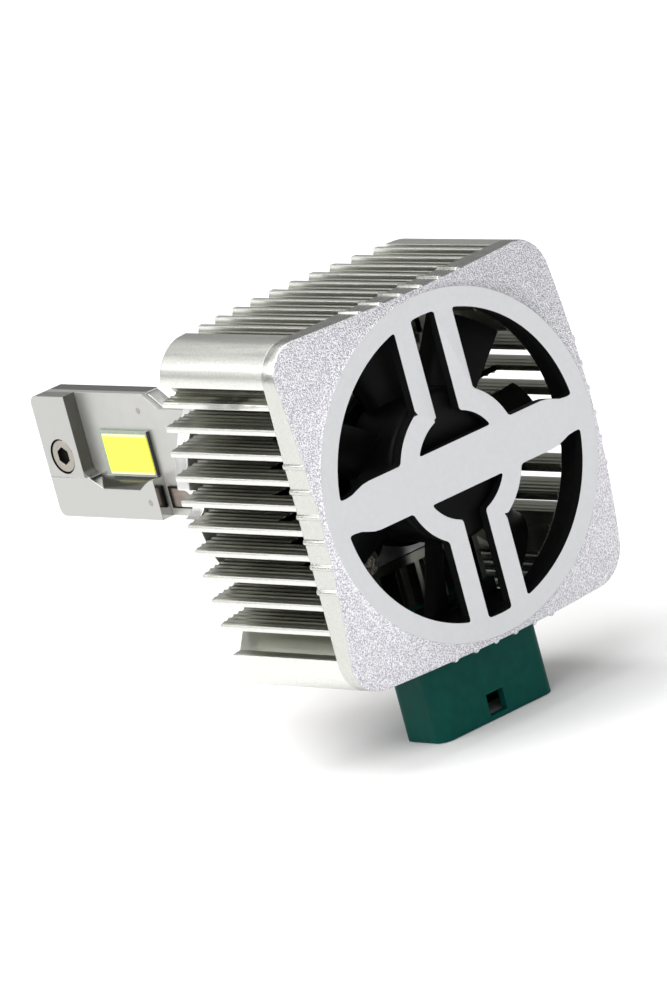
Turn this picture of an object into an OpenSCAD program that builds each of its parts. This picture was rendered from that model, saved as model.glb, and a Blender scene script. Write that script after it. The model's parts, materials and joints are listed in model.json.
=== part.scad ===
// LED headlight bulb with a 32 mm base ring, a finned heat sink and a cooling fan.
// +Y runs along the bulb's axis to the blade's tip, +X is to the right seen from the fan, +Z is up.
// The origin is on the axis, in the front face of the collar, which seats in the headlight.

/* [Body] */
// Width and height of the square heat sink and cover
body_w = 39.2; // [38:0.2:41]
// Radius of the body's four long corners
corner_r = 4; // [3:0.5:4.5]
// Distance from the seat back to the grille's outer face
back_len = 28.7; // [28:0.1:31]
// Thickness of the rear cover on the axis
cover_t = 4; // [3.6:0.1:4.4]
// Rise of the cover's cone, per millimetre of radius
cover_slope = 0.27; // [0.2:0.01:0.3]
// Rise of the heat sink's turned front end, per millimetre of radius
front_slope = 0.36; // [0.3:0.01:0.4]

/* [Fins] */
// Fins on each side
fin_count = 10; // [8:1:10]
// Distance from one fin to the next
fin_pitch = 2.8; // [2.7:0.05:2.9]
// Thickness of a fin
fin_t = 0.65; // [0.65:0.05:0.8]
// Shift of each row of fins off the middle, up and to the right
fin_shift = 0.7; // [0:0.1:0.8]
// Half width of the solid core
core_h = 11; // [10.8:0.1:11.4]

/* [Grille] */
// Outer radius of the flat ring
ring_r = 19; // [18.6:0.1:19.2]
// Radius of the grille's opening
open_r = 16.8; // [16.6:0.1:17]
// Thickness of the grille's bars
grille_t = 1.2; // [1:0.1:1.2]
// Outer radius of the round middle of the grille
hub_r = 8.3; // [8:0.1:8.6]
// Width of the upright bars and of the round middle's rim
bar_w = 2.5; // [2.2:0.1:2.8]
// Half height of the level bar
level_h = 2.72; // [2.4:0.02:3]
// Half height of the level bar's ends
level_end_h = 1.95; // [1.8:0.05:2.2]
// Width of the slot between the upright bars
slot_w = 3.3; // [3:0.1:3.6]

/* [Fan] */
// Number of fan blades
blade_count = 7; // [5:1:9]
// Radius at the blades' tips
fan_r = 16.4; // [16:0.1:16.5]
// Radius of the fan's hub
fan_hub_r = 8.4; // [8.2:0.1:8.6]
// Radius of the fan's shaft
shaft_r = 0.75; // [0.7:0.05:0.85]
// Radial clearance of the shaft in its sleeve
shaft_gap = 0.05; // [0.03:0.01:0.08]
// Lean of a fan blade from the fan's axis
blade_lean = 54; // [45:1:58]

/* [Collar and stem] */
// Outer radius of the collar
collar_r = 16.1; // [16:0.05:16.2]
// Thickness of the collar
collar_t = 2.1; // [1.9:0.1:2.3]
// Radius of the locating notches in the collar's rim
notch_r = 1.6; // [1.4:0.1:1.8]
// Radius of the stem's round barrel
barrel_r = 8.2; // [7.8:0.1:8.4]
// Length of the stem's round barrel ahead of the seat
barrel_len = 9; // [8.4:0.2:9.4]
// Distance from the seat to the front of the stem's flat neck
neck_y = 21.9; // [21.5:0.1:22.2]

/* [Blade] */
// Distance from the seat to the blade's tip
tip_y = 42; // [41:0.1:43]
// Half height of the blade
blade_h = 7.1; // [6.9:0.1:7.3]
// Thickness of the board in the middle of the blade
board_t = 0.8; // [0.6:0.1:0.9]
// Height of the blocks and bars above the board
bar_t = 1.6; // [1.4:0.1:1.7]
// Distance from the seat to the middle of the LEDs
led_y = 28; // [27.6:0.1:28.2]
// Length of an LED's bright face, along the blade
led_l = 7.9; // [7:0.1:8]
// Height of an LED's bright face
led_w = 4.7; // [4:0.1:4.7]

/* [Connector] */
// Width of the connector
plug_w = 16.4; // [16:0.1:17]
// Depth of the connector, front to back
plug_d = 7; // [6.8:0.1:7.2]
// Distance from the axis down to the connector's mouth
plug_z = 28.8; // [28:0.1:30]
// Wall of the connector
plug_wall = 1; // [0.9:0.1:1.1]

/* [Hidden] */
$fn = 64;
eps = 0.01;

// Half the body, and places along the axis from back to front
half = body_w / 2;
back_y = -back_len;
cover_y = back_y + cover_t;
ring_step = 0.2;
bore_r = 17.2;
bore_y = -17.6;
lid_t = 0.8;
cavity_r = 8.6;
cavity_y = -9;
side_front_y = -5.1;
boss_r = 12.6;
far_r = 40;

// Solid corner bars: how far out they start, at the top, at the bottom and at the sides
bar_top = 15.3;
bar_low = 15;
bar_side = 14.4;
web_t = 4.6;

// Screws: the head's and the shank's radius, and the head's height
head_r = 1.5;
screw_r = 0.8;
head_t = 1.1;
low_head_t = 0.8;
cover_screw_at = 16.5;
cover_screw_y = -17;
cover_screw_len = 9.3;

// Fan, from the grille forward
hub_back = back_y + grille_t + 0.4;
blade_back = back_y + 4.25;
hub_front = bore_y - 2.3;
hub_wall = 0.6;
yoke_wall = 0.5;
magnet_wall = 1.3;
blade_t = 0.9;
stator_r = 5.6;
stator_back = -24.4;
stator_front = -21;
coil_over = 0.6;
tube_r = 2.4;
tube_back = -25.1;
sleeve_r = 1.7;
base_t = 1;
base_y = bore_y - base_t;
fan_board_t = 0.8;
groove_y = base_y - 0.6;
groove_w = 0.3;
groove_r = 0.5;

// Driver, in the cavity of the heat sink's core
lid_half = 9.8;
lid_screw_at = 8.3;
pad_t = 1;
board_r = 7.9;
driver_t = 1;
driver_y = cavity_y - pad_t - driver_t;
driver_hole_r = 2.2;
driver_screw_at = 4.6;
fan_wire_z = 6.2;
wire_r = 0.45;

// Stem
flange_r = 12;
flange_t = 1.4;
seat_in_r = 13.95;
seat_sink = 0.2;
spigot_r = 5;
spigot_y = -6.5;
wire_bore_r = 1.8;
stem_screw_at = 10.3;
neck_top = 5.4;
neck_start_y = 12;
neck_cone_r = 6.2;
pocket_y = 3.6;
pocket_front_y = 8;
slot_y = 8;
strip_t = 0.3;
strip_low = 3.6;
strip_high = 6.1;
strip_front = 22.9;
far_strip_drop = 1;

// Blade
step_x = board_t / 2 + bar_t;
step_y = 35.75;
bar_y = 23.5;
bar_z = 2.45;
shoulder_y = 23.7;
shoulder_low_y = 21.3;
tip_r = 1;
screw_y = tip_y - 3.2;
tip_screw_r = 1;
tip_head_r = 1.9;
pin_y = 24.9;
pin_z = 5.1;
pin_r = 0.35;
led_t = 0.45;
phosphor_t = 0.15;
led_rim = 0.3;
led_wide_rim = 0.8;
led_up = 0.15;
fillet_r = 1.2;
sink_z = 3.62;
sink_back_y = 26.2;
sink_front_y = 32.9;

// Connector
plug_back = -24;
plug_front = plug_back + plug_d;
plug_top = -17.4;
plug_round = 1.5;
foot_front = -8;
foot_top = -16;
foot_low = -19.4;
floor_z = -21.3;
floor_t = 1.4;
pin_x = 5.4;
plug_pin_y = (plug_back + plug_front) / 2;
wire_y = -12.5;
plug_screw_x = 5.6;
plug_screw_y = -10.3;
wire_z = -18.4;

// Places of a row of fins, across their side
function fin_at(i) = fin_shift + (i - (fin_count - 1) / 2) * fin_pitch;

// The same outline points turned over, and taken in the other order
function flipped(points, x, z) = [for (p = points) [p[0] * x, p[1] * z]];
function reversed(points) = [for (i = [len(points) - 1 : -1 : 0]) points[i]];

// A flat outline in X and Z, carried along Y from one place to another
module prism_y(from, to) {
    translate([0, to, 0]) rotate([90, 0, 0]) linear_extrude(to - from) children();
}

// A flat outline in Y and Z, carried along X from one place to another
module prism_x(from, to) {
    translate([from, 0, 0]) rotate([90, 0, 90]) linear_extrude(to - from) children();
}

// An outline of radius and Y, turned about the bulb's axis
module turned() {
    rotate([-90, 0, 0]) rotate_extrude() children();
}

// A cylinder along Y, centred on x and z
module rod_y(from, to, r, x = 0, z = 0) {
    translate([x, from, z]) rotate([-90, 0, 0]) cylinder(h = to - from, r = r);
}

// A tube along Y
module tube_y(from, to, r, bore) {
    difference() {
        rod_y(from, to, r);
        rod_y(from - 1, to + 1, bore);
    }
}

// A box from its low corner to its high corner
module block(low, high) {
    translate(low) cube(high - low);
}

// A rounded rectangle about the middle
module rounded(w, h, r) {
    square([w - 2 * r, h], center = true);
    square([w, h - 2 * r], center = true);
    for (x = [-1, 1], z = [-1, 1]) translate([x * (w / 2 - r), z * (h / 2 - r)]) circle(r);
}

// A socket-head screw that points up, with the underside of its head at the origin
module screw(len, head = head_r, shank = screw_r, thick = head_t) {
    difference() {
        union() {
            cylinder(h = len, r = shank);
            translate([0, 0, -thick]) cylinder(h = thick, r = head);
        }
        translate([0, 0, -thick - eps]) cylinder(h = thick * 0.6, r = head * 0.55, $fn = 6);
    }
}

// Four places, one in each quarter, at the same distance out along X and Z
module four(at) {
    for (x = [-1, 1], z = [-1, 1]) translate([x * at, 0, z * at]) children();
}

// Three places round the stem's flange
module three() {
    for (a = [90, 210, 330]) rotate([0, a, 0]) translate([stem_screw_at, 0, 0]) children();
}

// A wire through a list of points, a little swollen at its bends
module wire(points) {
    for (i = [0 : len(points) - 2]) {
        v = points[i + 1] - points[i];
        translate(points[i])
            rotate([0, acos(v[2] / norm(v)), atan2(v[1], v[0])])
                cylinder(h = norm(v), r = wire_r, $fn = 16);
    }
    if (len(points) > 2)
        for (i = [1 : len(points) - 2]) translate(points[i]) sphere(wire_r * 1.12, $fn = 24);
}

// Half a turn about the bulb's axis, for the far side of the blade
module far_side() {
    rotate([0, 180, 0]) children();
}

// The same, but low enough for the far side's strip to lie under the shoulder
module lowered_far_side() {
    translate([0, 0, -far_strip_drop]) far_side() children();
}

// One side's fins, standing up from the core
module fin_row() {
    for (i = [0 : fin_count - 1]) {
        root = max(core_h, abs(fin_at(i))) - 1;
        translate([fin_at(i) - fin_t / 2, root]) square([fin_t, half - root]);
    }
}

// The solid bar in the right-hand upper corner, with its web to the core
module corner_bar(from_z) {
    intersection() {
        rounded(body_w, body_w, corner_r);
        translate([bar_side, from_z]) square(half);
    }
    rotate(45) translate([core_h, -web_t / 2]) square([24.5 - core_h, web_t]);
}

// The heat sink's cross-section
module sink_section() {
    square(2 * core_h, center = true);
    fin_row();
    mirror([0, 1]) fin_row();
    rotate(90) fin_row();
    mirror([1, 0]) rotate(90) fin_row();
    for (x = [0, 1]) mirror([x, 0]) {
        corner_bar(bar_top);
        mirror([0, 1]) corner_bar(bar_low);
    }
}

// The turned envelope of the heat sink, with its front cone and the boss behind the collar
module sink_envelope() {
    turned() polygon([
        [0, cover_y - 1], [far_r, cover_y - 1],
        [far_r, side_front_y - front_slope * (far_r - half)],
        [boss_r, side_front_y - front_slope * (boss_r - half)],
        [boss_r, 0], [0, 0]
    ]);
}

module heat_sink() color("silver") difference() {
    union() {
        intersection() {
            prism_y(cover_y, -collar_t) sink_section();
            sink_envelope();
        }
        translate([0, wire_y, foot_top]) cylinder(h = 0.5 - foot_top - core_h, r = 3.6);
        for (x = [-1, 1]) translate([x * plug_screw_x, plug_screw_y, foot_top])
            cylinder(h = 0.5 - foot_top - core_h, r = 1.8);
    }
    rod_y(cover_y - 1, bore_y, bore_r);
    rod_y(bore_y - 1, cavity_y, cavity_r);
    prism_y(bore_y - 1, bore_y + lid_t) rounded(2 * lid_half + 0.2, 2 * lid_half + 0.2, 1.6);
    rod_y(cavity_y - 1, 0, wire_bore_r);
    rod_y(spigot_y, 0, spigot_r);
    translate([0, wire_y, foot_top - 1]) cylinder(h = 12, r = 2.5);
    block([-plug_w / 2 - 0.2, cover_y - 1, -half - 1], [plug_w / 2 + 0.2, foot_front + 0.2, foot_top]);
    block([-plug_w / 2 - 0.2, cover_y - 1, -half - 1], [plug_w / 2 + 0.2, bore_y, foot_top + 1.5]);
    three() rod_y(-collar_t - 5.5, 0, screw_r);
    four(lid_screw_at) rod_y(bore_y - 1, bore_y + 5, screw_r);
    four(cover_screw_at) {
        rod_y(cover_y - 1, cover_screw_y + 1, screw_r + 0.1);
        rod_y(cover_screw_y, 0, head_r + 0.15);
    }
    for (s = [-1, 1])
        rod_y(cavity_y - 1, cavity_y + 2.2, screw_r, x = s * driver_screw_at, z = s * driver_screw_at);
    for (x = [-1, 1]) translate([x * plug_screw_x, plug_screw_y, foot_top - 1])
        cylinder(h = 5.6, r = screw_r);
}

// One quarter of the edge of the grille's level bar, which narrows near the ring
level_edge = [
    [12.4, level_h], [13.3, level_h - 0.1], [14.2, (level_h + level_end_h) / 2],
    [15, level_end_h + 0.1], [15.9, level_end_h], [open_r + 0.5, level_end_h]
];

// The bars of the grille
module grille_bars() {
    difference() {
        circle(hub_r);
        circle(hub_r - bar_w);
        square([slot_w, 2 * hub_r + 1], center = true);
    }
    for (x = [-1, 1], z = [-1, 1])
        translate([x * (slot_w + bar_w) / 2, z * (open_r + 6.6) / 2])
            square([bar_w, open_r - 5.8], center = true);
    polygon(concat(
        level_edge, reversed(flipped(level_edge, 1, -1)),
        flipped(level_edge, -1, -1), reversed(flipped(level_edge, -1, 1))
    ));
}

module rear_cover() color("gainsboro") difference() {
    intersection() {
        union() {
            prism_y(back_y, cover_y) rounded(body_w, body_w, corner_r);
            for (a = [0 : 90 : 270], i = [2 : fin_count - 3]) rotate([0, a, 0])
                rod_y(back_y, cover_y, 0.35, x = fin_at(i) - 0.95, z = half - 0.1);
        }
        turned() polygon([
            [0, cover_y + 1], [far_r, cover_y + 1],
            [far_r, back_y + ring_step + cover_slope * (far_r - ring_r)],
            [ring_r, back_y + ring_step], [ring_r, back_y], [0, back_y]
        ]);
    }
    rod_y(back_y + grille_t, cover_y + 1, bore_r);
    prism_y(back_y - 1, back_y + grille_t + 1) difference() {
        circle(open_r);
        grille_bars();
    }
    four(cover_screw_at) rod_y(cover_y - 1.7, cover_y + 1, screw_r);
}

module cover_screws() color("dimgray")
    four(cover_screw_at) translate([0, cover_screw_y, 0]) rotate([90, 0, 0]) screw(cover_screw_len);

module cavity_lid() color("gray") difference() {
    prism_y(bore_y, bore_y + lid_t) rounded(2 * lid_half, 2 * lid_half, 1.5);
    four(lid_screw_at) rod_y(bore_y - 1, bore_y + 2, screw_r);
    block([-1.4, bore_y - 1, fan_wire_z - 0.7], [1.4, bore_y + 2, fan_wire_z + 0.7]);
}

// The holes that the pad and the driver board share
module driver_holes() {
    rod_y(driver_y - 1, cavity_y + 1, driver_hole_r);
    for (s = [-1, 1])
        rod_y(driver_y - 1, cavity_y + 1, screw_r, x = s * driver_screw_at, z = s * driver_screw_at);
}

module thermal_pad() color("lightskyblue") difference() {
    rod_y(cavity_y - pad_t, cavity_y, board_r);
    driver_holes();
}

module driver_board() color("darkgreen") difference() {
    rod_y(driver_y, driver_y + driver_t, board_r);
    driver_holes();
}

module driver_coil() color("saddlebrown") difference() {
    rod_y(driver_y - 3.6, driver_y, 2.3, x = -4.1, z = 1.7);
    rod_y(driver_y - 4, driver_y - 1, 0.7, x = -4.1, z = 1.7);
}

module driver_capacitors() color("midnightblue") {
    rod_y(driver_y - 4.2, driver_y, 1.7, x = 3.7, z = -3.2);
    rod_y(driver_y - 3.6, driver_y, 1.4, x = 5.3, z = 0.8);
}

module driver_chips() color("black") {
    block([-0.6, driver_y - 0.9, 2.6], [1.8, driver_y, 4.6]);
    block([-5.6, driver_y - 0.7, -3], [-3.6, driver_y, -1.4]);
}

module board_screws() color("silver")
    for (s = [-1, 1]) translate([s * driver_screw_at, driver_y, s * driver_screw_at])
        rotate([-90, 0, 0]) screw(4);

module fan_base() color("#202020") difference() {
    union() {
        prism_y(base_y, bore_y) {
            circle(9);
            for (a = [45, 135]) rotate(a) square([2 * lid_screw_at * sqrt(2), 3.4], center = true);
            for (x = [-1, 1], z = [-1, 1]) translate([x, z] * lid_screw_at) circle(1.7);
        }
        rod_y(tube_back, bore_y, tube_r);
    }
    rod_y(tube_back - 1, base_y, sleeve_r);
    four(lid_screw_at) rod_y(base_y - 1, bore_y + 1, screw_r);
    block([-1.4, base_y - 1, fan_wire_z - 0.7], [1.4, bore_y + 1, fan_wire_z + 0.7]);
}

module fan_screws() color("silver")
    four(lid_screw_at) translate([0, base_y, 0]) rotate([-90, 0, 0]) screw(5, thick = low_head_t);

module bearing_sleeve() color("peru")
    tube_y(tube_back + 0.1, base_y - 0.8, sleeve_r, shaft_r + shaft_gap);

module stator_core() color("slategray") prism_y(stator_back, stator_front) {
    difference() {
        circle(tube_r + 1);
        circle(tube_r);
    }
    for (a = [45 : 90 : 315]) rotate(a) {
        translate([tube_r + 0.5, -0.8]) square([stator_r - tube_r - 1, 1.6]);
        intersection() {
            difference() {
                circle(stator_r);
                circle(stator_r - 1);
            }
            translate([0, -2.7]) square([stator_r, 5.4]);
        }
    }
}

module stator_coils() color("chocolate") for (a = [45 : 90 : 315]) rotate([0, a, 0]) difference() {
    block([tube_r + 1.05, stator_back - coil_over, -1.5],
        [stator_r - 1.25, stator_front + coil_over, 1.5]);
    block([0, stator_back, -0.8], [stator_r, stator_front, 0.8]);
}

module fan_board() color("darkgreen")
    tube_y(base_y - fan_board_t, base_y, 6.9, tube_r);

// A fan blade: a leaning plate, cut to the hub, the tips and the fan's two ends
module fan_blade() {
    middle = (blade_back + hub_front) / 2;
    translate([0, middle, 0]) rotate([blade_lean, 0, 0])
        translate([hub_r / 2, -8, -blade_t / 2]) cube([fan_r, 16, blade_t]);
}

module impeller() color("#181818") difference() {
    union() {
        rod_y(hub_back, hub_front, fan_hub_r);
        intersection() {
            for (i = [0 : blade_count - 1]) rotate([0, i * 360 / blade_count, 0]) fan_blade();
            rod_y(blade_back, hub_front - 0.2, fan_r);
        }
    }
    rod_y(hub_back + hub_wall, hub_front + 1, fan_hub_r - hub_wall);
    rod_y(hub_back + hub_wall / 2, hub_front, shaft_r);
}

module rotor_yoke() color("lightslategray") {
    r = fan_hub_r - hub_wall;
    back = hub_back + hub_wall;
    difference() {
        union() {
            tube_y(back, hub_front - 0.3, r, r - yoke_wall);
            rod_y(back, back + yoke_wall, r);
            rod_y(back, tube_back - 0.3, 1.6);
        }
        rod_y(back - 1, tube_back, shaft_r);
    }
}

module rotor_magnet() color("#303030") {
    r = fan_hub_r - hub_wall - yoke_wall;
    tube_y(hub_back + hub_wall + yoke_wall, hub_front - 0.4, r, r - magnet_wall);
}

module fan_shaft() color("silver") difference() {
    rod_y(hub_back + hub_wall / 2, base_y - 0.15, shaft_r);
    tube_y(groove_y, groove_y + groove_w, shaft_r + 1, groove_r);
}

module shaft_clip() color("goldenrod") difference() {
    tube_y(groove_y, groove_y + groove_w, 1.3, groove_r);
    block([-0.35, groove_y - 1, 0], [0.35, groove_y + 1, 2]);
}

module collar() color("silver") difference() {
    tube_y(-collar_t, 0, collar_r, spigot_r);
    rod_y(-seat_sink, 1, seat_in_r);
    for (a = [178, 58, 298]) rotate([0, -a, 0]) rod_y(-collar_t - 1, 1, notch_r, x = collar_r);
    three() rod_y(-collar_t - 1, 1, screw_r + 0.1);
}

// The flat neck, which backs the board on its right-hand face and reaches the bar along its top
module neck() {
    reach = (bar_y - 0.1 - shoulder_low_y) / (shoulder_y - shoulder_low_y);
    prism_x(board_t / 2, step_x) polygon([
        [barrel_len - 2, -blade_h], [neck_y, -blade_h], [neck_y, bar_z + 0.1], [bar_y - 0.1, bar_z + 0.1],
        [bar_y - 0.1, neck_top + reach * (blade_h - neck_top)], [shoulder_low_y, neck_top],
        [barrel_len - 2, neck_top]
    ]);
}

module stem() color("lightgray") difference() {
    union() {
        rod_y(spigot_y, 0, spigot_r);
        rod_y(-seat_sink, flange_t - seat_sink, flange_r);
        turned() polygon([
            [0, 0], [barrel_r, 0], [barrel_r, barrel_len],
            [neck_cone_r, neck_start_y], [0, neck_start_y]
        ]);
        neck();
    }
    rod_y(spigot_y - 1, pocket_y + 1, wire_bore_r);
    block([-1.9, pocket_y, -6.4], [1.9, pocket_front_y, 6.4]);
    block([-board_t / 2, slot_y - 1, -neck_top], [board_t / 2, neck_y + 1, neck_top]);
    block([-board_t / 2, neck_start_y, -blade_h - 1], [board_t / 2, neck_y + 1, blade_h]);
    strip_channel();
    block([-step_x - 1, neck_start_y - 1.2, -strip_high], [0, neck_y + 1, -strip_low]);
    lowered_far_side() strip_channel();
    three() rod_y(-1, flange_t + 1, screw_r + 0.1);
}

// The channel for a supply strip, in the barrel and the neck
module strip_channel() {
    block([-board_t / 2 - strip_t, slot_y - 1, -strip_high], [0, neck_y + 3, -strip_low]);
}

module stem_screws() color("dimgray")
    three() translate([0, flange_t - seat_sink, 0]) rotate([90, 0, 0]) screw(flange_t + collar_t + 5);

module seal_ring() color("orangered")
    turned() translate([flange_r + 0.95, 0.9 - seat_sink]) circle(0.9);

// The blade's outline, seen from the side
module blade_outline() {
    difference() {
        union() {
            polygon([
                [slot_y, -neck_top], [neck_start_y, -neck_top], [neck_start_y, -blade_h],
                [tip_y - tip_r, -blade_h], [tip_y - tip_r, blade_h], [shoulder_y, blade_h],
                [shoulder_low_y, neck_top], [slot_y, neck_top]
            ]);
            translate([tip_y - 2 * tip_r, -blade_h]) tip_end(2 * blade_h);
        }
        translate([screw_y, 0]) circle(tip_screw_r);
        for (z = [-pin_z, pin_z]) translate([pin_y, z]) circle(pin_r);
    }
}

// The round-cornered end of a plate, as high as h
module tip_end(h) {
    square([tip_r, h]);
    translate([0, tip_r]) square([2 * tip_r, h - 2 * tip_r]);
    for (z = [tip_r, h - tip_r]) translate([tip_r, z]) circle(tip_r);
}

module led_board() color("lightgray")
    prism_x(-board_t / 2, board_t / 2) blade_outline();

// The LED's case on the left face of the board, with a wider rim above and towards the tip
module led_case() {
    block([-board_t / 2 - led_t, led_y - led_l / 2 - led_rim / 2, -led_w / 2 - 0.05],
        [-board_t / 2, led_y + led_l / 2 + led_wide_rim, led_w / 2 + led_up + led_rim]);
}

// The LED's bright face
module led_face() {
    block([-board_t / 2 - led_t - phosphor_t, led_y - led_l / 2, -led_w / 2 + led_up],
        [-board_t / 2 - led_t, led_y + led_l / 2, led_w / 2 + led_up]);
}

module left_led() color("darkseagreen") led_case();
module right_led() color("darkseagreen") far_side() led_case();
module left_phosphor() color("yellow") led_face();
module right_phosphor() color("yellow") far_side() led_face();

// The raised block at the blade's tip, with the screw's hole
module tip_block(hole_r, sink_r) {
    difference() {
        prism_x(-step_x, -board_t / 2) difference() {
            union() {
                translate([step_y, -bar_z]) square([tip_y - tip_r - step_y, blade_h + bar_z]);
                translate([step_y, -bar_z]) square([tip_y - step_y, blade_h + bar_z - tip_r]);
                translate([tip_y - tip_r, blade_h - tip_r]) circle(tip_r);
                difference() {
                    translate([step_y - fillet_r, -bar_z]) square([fillet_r + 0.1, fillet_r]);
                    translate([step_y - fillet_r, fillet_r - bar_z]) circle(fillet_r);
                }
            }
            translate([screw_y, 0]) circle(hole_r);
        }
        if (sink_r > 0) translate([-step_x - 1, screw_y, 0])
            rotate([0, 90, 0]) cylinder(h = 2.1, r = sink_r);
    }
}

module left_tip_block() color("silver") tip_block(tip_screw_r + 0.05, tip_head_r + 0.15);
module right_tip_block() color("silver") far_side() tip_block(tip_screw_r, 0);

// The raised polished bar along one edge of the blade, sunk below the LED in a sloping wall
module reflector_bar() {
    prism_x(-step_x, -board_t / 2) difference() {
        union() {
            translate([bar_y, -blade_h]) square([tip_y - tip_r - bar_y, blade_h - bar_z]);
            translate([bar_y, tip_r - blade_h]) square([tip_y - bar_y, blade_h - bar_z - tip_r]);
            translate([tip_y - tip_r, tip_r - blade_h]) circle(tip_r);
        }
        polygon([
            [sink_back_y - 2.3, 0.1 - bar_z], [sink_back_y - 1.2, -2.9], [sink_back_y, -sink_z],
            [sink_front_y, -sink_z], [sink_front_y + 2.3, 0.1 - bar_z]
        ]);
        translate([pin_y, -pin_z]) circle(pin_r);
    }
    prism_y(sink_back_y - 1.6, sink_front_y + 1.7) polygon([
        [-board_t / 2, -bar_z - 0.2], [-step_x, -sink_z], [-step_x, -sink_z - 1], [-board_t / 2, -sink_z - 1]
    ]);
}

module left_reflector_bar() color("white") reflector_bar();
module right_reflector_bar() color("white") far_side() reflector_bar();

// The strip that feeds one LED, flat on the board
module supply_strip() {
    block([-board_t / 2 - strip_t, slot_y - 1.4, -strip_high],
        [-board_t / 2, strip_front, -strip_low]);
}

module left_supply_strip() color("sienna") supply_strip();
module right_supply_strip() color("sienna") lowered_far_side() supply_strip();

// A pin through a bar and the board
module board_pin() {
    translate([-step_x, pin_y, -pin_z]) rotate([0, 90, 0]) cylinder(h = step_x + board_t / 2, r = pin_r);
}

module board_pins() color("dimgray") {
    board_pin();
    far_side() board_pin();
}

module tip_screw() color("silver") translate([-step_x + 1.1, screw_y, 0])
    rotate([0, 90, 0]) screw(step_x * 2 - 1.3, head = tip_head_r, shank = tip_screw_r, thick = 1);

// The connector's outline from below
module plug_outline(inset, round) {
    translate([0, plug_pin_y]) rounded(plug_w - 2 * inset, plug_d - 2 * inset, round);
}

module connector_housing() color("darkgreen") difference() {
    union() {
        translate([0, 0, -plug_z]) linear_extrude(plug_z + plug_top) plug_outline(0, plug_round);
        block([-plug_w / 2, plug_front - plug_round, foot_low], [plug_w / 2, foot_front, foot_top]);
    }
    rod_y(cover_y, bore_y, bore_r + 0.2);
    translate([0, 0, -plug_z - 1]) linear_extrude(plug_z + 1 + floor_z)
        plug_outline(plug_wall, 0.8);
    block([-6.4, plug_back + 1.2, floor_z + floor_t], [6.4, plug_front + 0.5, plug_top - 0.5]);
    block([-3.4, plug_front - 1, foot_low + 0.4], [3.4, wire_y + 2.4, foot_top - 0.8]);
    translate([0, wire_y, foot_top - 1]) cylinder(h = 2, r = 2.4);
    block([-1.2, plug_back - 1, -28.3], [1.2, plug_pin_y, -25.9]);
    for (x = [-1, 1]) translate([x * plug_screw_x, plug_screw_y, foot_low - 1]) {
        cylinder(h = 5, r = screw_r + 0.1);
        cylinder(h = 2.3, r = head_r + 0.15);
    }
    for (x = [-1, 1]) translate([x * pin_x, plug_pin_y, floor_z + floor_t / 2])
        cube([1.5, 0.6, floor_t + 1], center = true);
}

module connector_pins() color("gold") for (x = [-1, 1])
    block([x * pin_x - 0.75, plug_pin_y - 0.3, -27.2], [x * pin_x + 0.75, plug_pin_y + 0.3, wire_z - wire_r]);

module wire_grommet() color("black") translate([0, wire_y, foot_top + 1.5]) difference() {
    cylinder(h = 1.5, r = 2.5);
    for (x = [-1, 1]) translate([x * 1.2, 0, -1]) cylinder(h = 4, r = wire_r, $fn = 16);
}

module connector_screws() color("dimgray") for (x = [-1, 1])
    translate([x * plug_screw_x, plug_screw_y, foot_low + 1.3]) screw(6);

module supply_wires() color("red") for (x = [-1, 1]) wire([
    [x * pin_x, plug_pin_y, wire_z], [x * 1.2, plug_pin_y, wire_z],
    [x * 1.2, wire_y, wire_z], [x * 1.2, wire_y, -7], [x * 1.2, driver_y, -7]
]);

module led_wires() color("red") for (x = [-1, 1]) wire([
    [x * 1.2, driver_y - wire_r, -3], [x * 1.2, driver_y - wire_r, 0],
    [x * 1.2, slot_y - 3.3, 0], [x * 1.2, slot_y - 0.8, x * 4.4]
]);

module fan_wires() color("blue") for (x = [-1, 1])
    wire([[x * 0.7, base_y, fan_wire_z], [x * 0.7, driver_y, fan_wire_z]]);

heat_sink();
rear_cover();
cover_screws();
cavity_lid();
thermal_pad();
driver_board();
driver_coil();
driver_capacitors();
driver_chips();
board_screws();
fan_base();
fan_screws();
bearing_sleeve();
stator_core();
stator_coils();
fan_board();
impeller();
rotor_yoke();
rotor_magnet();
fan_shaft();
shaft_clip();
collar();
stem();
stem_screws();
seal_ring();
led_board();
left_led();
right_led();
left_phosphor();
right_phosphor();
left_tip_block();
right_tip_block();
left_reflector_bar();
right_reflector_bar();
left_supply_strip();
right_supply_strip();
board_pins();
tip_screw();
connector_housing();
connector_pins();
wire_grommet();
connector_screws();
supply_wires();
led_wires();
fan_wires();
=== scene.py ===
# %% [markdown]
# # A headlight bulb with two LEDs, a finned heat sink and a fan
#
# This bulb is one assembly of turned, milled and moulded pieces. The model that carries its sizes
# is loaded first, and everything below is built round it: a piece that is already the right shape
# keeps its own mesh and gets a better finish, and a piece whose edges or surfaces matter is made anew.

import json
import math

import bmesh
import bpy
import numpy as np
from mathutils import Matrix, Vector


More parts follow.
